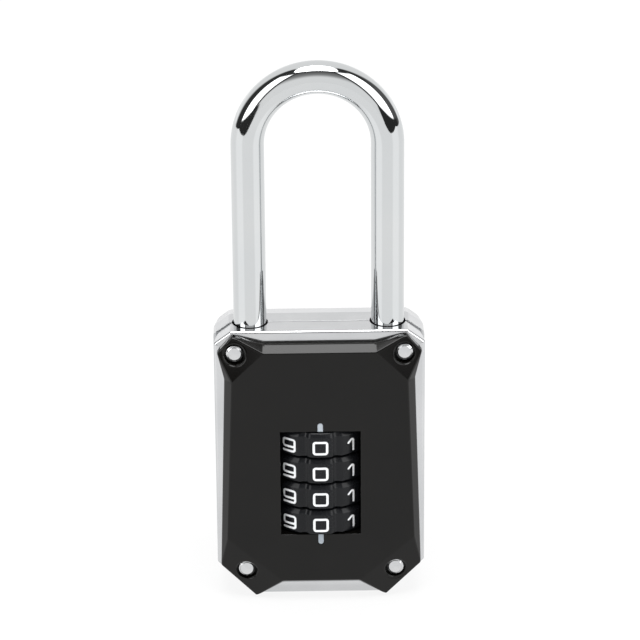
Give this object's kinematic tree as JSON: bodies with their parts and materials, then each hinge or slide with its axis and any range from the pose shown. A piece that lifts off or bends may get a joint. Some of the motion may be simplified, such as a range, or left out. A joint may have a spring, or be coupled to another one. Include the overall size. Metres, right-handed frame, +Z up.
{
  "type": "combination padlock",
  "caption": "Keyless dial combination padlock with a long chromed shackle, a satin cast body and faceted black covers.",
  "frame": {"origin": "on the flat bottom face, at mid-width and half-way through the depth", "axes": "+Z up along the shackle, +X to the reader's right, -Y towards the reader of the dials"},
  "size_m": [0.0512, 0.0276, 0.1369],
  "materials": {
    "satin_zinc": "satin plated zinc casting",
    "black_cover": "black, semi-matte",
    "white_paint": "filled mark and digits",
    "spring_steel": "bright",
    "rivet_steel": "satin",
    "screw_steel": "zinc plated",
    "chrome": "polished",
    "plate_steel": "stamped",
    "brass": "turned",
    "dial_black": "black, slightly glossy"
  },
  "bodies": {
    "case": {"front_shell": "satin_zinc", "rear_shell": "satin_zinc", "front_cover": "black_cover", "rear_cover": "black_cover", "upper_index_mark": "white_paint", "lower_index_mark": "white_paint", "detent_spring": "spring_steel", "shackle_spring": "spring_steel", "front_rivet_top_left": "rivet_steel", "rear_rivet_top_left": "rivet_steel", "case_screw_top_left": "screw_steel", "front_rivet_top_right": "rivet_steel", "rear_rivet_top_right": "rivet_steel", "case_screw_top_right": "screw_steel", "front_rivet_bottom_left": "rivet_steel", "rear_rivet_bottom_left": "rivet_steel", "case_screw_bottom_left": "screw_steel", "front_rivet_bottom_right": "rivet_steel", "rear_rivet_bottom_right": "rivet_steel", "case_screw_bottom_right": "screw_steel"},
    "shackle": {"shackle": "chrome", "lift_yoke": "plate_steel", "spindle": "brass", "spindle_clip": "spring_steel"},
    "dial_1": {"dial_1": "dial_black", "sleeve_1": "brass"},
    "dial_2": {"dial_2": "dial_black", "sleeve_2": "brass"},
    "dial_3": {"dial_3": "dial_black", "sleeve_3": "brass"},
    "dial_4": {"dial_4": "dial_black", "sleeve_4": "brass"}
  },
  "joints": [
    {"name": "shackle_lift", "type": "slide", "parent": "case", "child": "shackle", "axis": [0, 0, 1], "range_m": [0, 0.0138], "deforming": ["shackle_spring"]},
    {"name": "dial_1_turn", "type": "hinge", "parent": "case", "child": "dial_1", "pos_m": [0, -0.0008, 0], "axis": [0, 0, 1], "continuous": true},
    {"name": "dial_2_turn", "type": "hinge", "parent": "case", "child": "dial_2", "pos_m": [0, -0.0008, 0], "axis": [0, 0, 1], "continuous": true},
    {"name": "dial_3_turn", "type": "hinge", "parent": "case", "child": "dial_3", "pos_m": [0, -0.0008, 0], "axis": [0, 0, 1], "continuous": true},
    {"name": "dial_4_turn", "type": "hinge", "parent": "case", "child": "dial_4", "pos_m": [0, -0.0008, 0], "axis": [0, 0, 1], "continuous": true}
  ]
}
